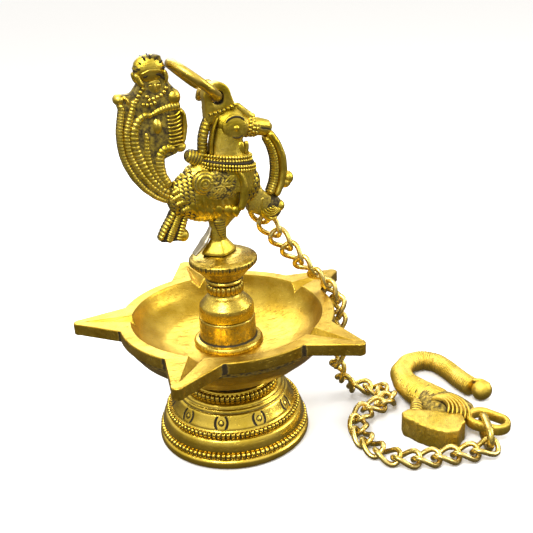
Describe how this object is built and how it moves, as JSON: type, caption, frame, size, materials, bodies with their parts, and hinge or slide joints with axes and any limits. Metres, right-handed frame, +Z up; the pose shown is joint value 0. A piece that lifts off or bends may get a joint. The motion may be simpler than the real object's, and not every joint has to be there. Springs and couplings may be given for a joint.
{
  "type": "hanging oil lamp",
  "caption": "Cast brass oil lamp with a bell foot, a spouted wick dish, a peacock on a turned stem, a lug ring, a curb chain and a bird-shaped hook.",
  "frame": {"origin": "centre of the foot's underside, on the lamp's axis, in the plane that the lamp stands on", "axes": "+Z up along the stem, +X the way the peacock looks, +Y to the peacock's left"},
  "size_m": [0.1789, 0.1378, 0.167],
  "materials": {
    "foot_brass": "cast brass, turned and polished, dark patina in the bead rows",
    "dish_brass": "cast brass, satin polished, fine pits and scratches",
    "stem_brass": "turned brass with patina in the grooves",
    "figure_brass": "sand-cast brass, rough, dark patina between raised lines",
    "ring_brass": "drawn brass wire, dull polish",
    "chain_brass": "drawn brass wire, dull polish",
    "hook_brass": "cast brass, satin, slightly rough",
    "fastener_brass": "turned brass"
  },
  "bodies": {
    "lamp": {"base_foot": "foot_brass", "tie_stud": "fastener_brass", "clamp_washer": "fastener_brass", "clamp_nut": "fastener_brass", "oil_dish": "dish_brass", "stem_collar": "stem_brass", "stem": "stem_brass", "peacock": "figure_brass", "chain_link_02": "chain_brass", "chain_link_03": "chain_brass", "chain_link_04": "chain_brass", "chain_link_05": "chain_brass", "chain_link_06": "chain_brass", "chain_link_07": "chain_brass", "chain_link_08": "chain_brass", "chain_link_09": "chain_brass", "chain_link_10": "chain_brass", "chain_link_11": "chain_brass", "chain_link_12": "chain_brass", "chain_link_13": "chain_brass", "chain_link_14": "chain_brass", "chain_link_15": "chain_brass", "chain_link_16": "chain_brass", "chain_link_17": "chain_brass", "chain_link_18": "chain_brass", "chain_link_19": "chain_brass", "chain_link_20": "chain_brass", "chain_link_21": "chain_brass", "chain_link_22": "chain_brass", "chain_link_23": "chain_brass", "chain_link_24": "chain_brass", "chain_link_25": "chain_brass", "chain_link_26": "chain_brass", "chain_link_27": "chain_brass", "chain_link_28": "chain_brass", "chain_link_29": "chain_brass", "chain_link_30": "chain_brass", "chain_link_31": "chain_brass"},
    "ring": {"suspension_ring": "ring_brass"},
    "link_01": {"chain_link_01": "chain_brass"},
    "link_32": {"chain_link_32": "chain_brass"},
    "link_33": {"chain_link_33": "chain_brass"},
    "link_34": {"chain_link_34": "chain_brass"},
    "link_35": {"chain_link_35": "chain_brass"},
    "jump": {"jump_link": "chain_brass"},
    "hook": {"bird_hook": "hook_brass"}
  },
  "joints": [
    {"name": "ring_swing", "type": "hinge", "parent": "lamp", "child": "ring", "pos_m": [0.0016, 0, 0.1488], "axis": [0, 1, 0], "range_deg": [0, 50]},
    {"name": "link_01_follow", "type": "hinge", "parent": "lamp", "child": "link_01", "pos_m": [0.00312, 0.00989, 0.14598], "axis": [0, 1, 0], "range_deg": [0, 25]},
    {"name": "link_32_turn", "type": "hinge", "parent": "lamp", "child": "link_32", "pos_m": [0.05742, -0.06081, 0.0034], "axis": [0, 0, 1], "range_deg": [-12, 0]},
    {"name": "link_33_turn", "type": "hinge", "parent": "link_32", "child": "link_33", "pos_m": [0.06545, -0.06319, 0.0034], "axis": [0, 0, 1], "range_deg": [-12, 0]},
    {"name": "link_34_turn", "type": "hinge", "parent": "link_33", "child": "link_34", "pos_m": [0.07363, -0.06508, 0.00348], "axis": [0, 0, 1], "range_deg": [-12, 0]},
    {"name": "link_35_turn", "type": "hinge", "parent": "link_34", "child": "link_35", "pos_m": [0.08183, -0.06692, 0.00357], "axis": [0, 0, 1], "range_deg": [-12, 0]},
    {"name": "jump_link_turn", "type": "hinge", "parent": "link_35", "child": "jump", "pos_m": [0.08829, -0.06826, 0.00454], "axis": [0, 0, 1], "range_deg": [-20, 0]},
    {"name": "hook_turn", "type": "hinge", "parent": "jump", "child": "hook", "pos_m": [0.0956, -0.0518, 0.0063], "axis": [0, 0, 1], "range_deg": [-30, 0]}
  ],
  "couplings": [
    {"joint": "link_01_follow", "follows": "ring_swing", "ratio": 0.489}
  ]
}
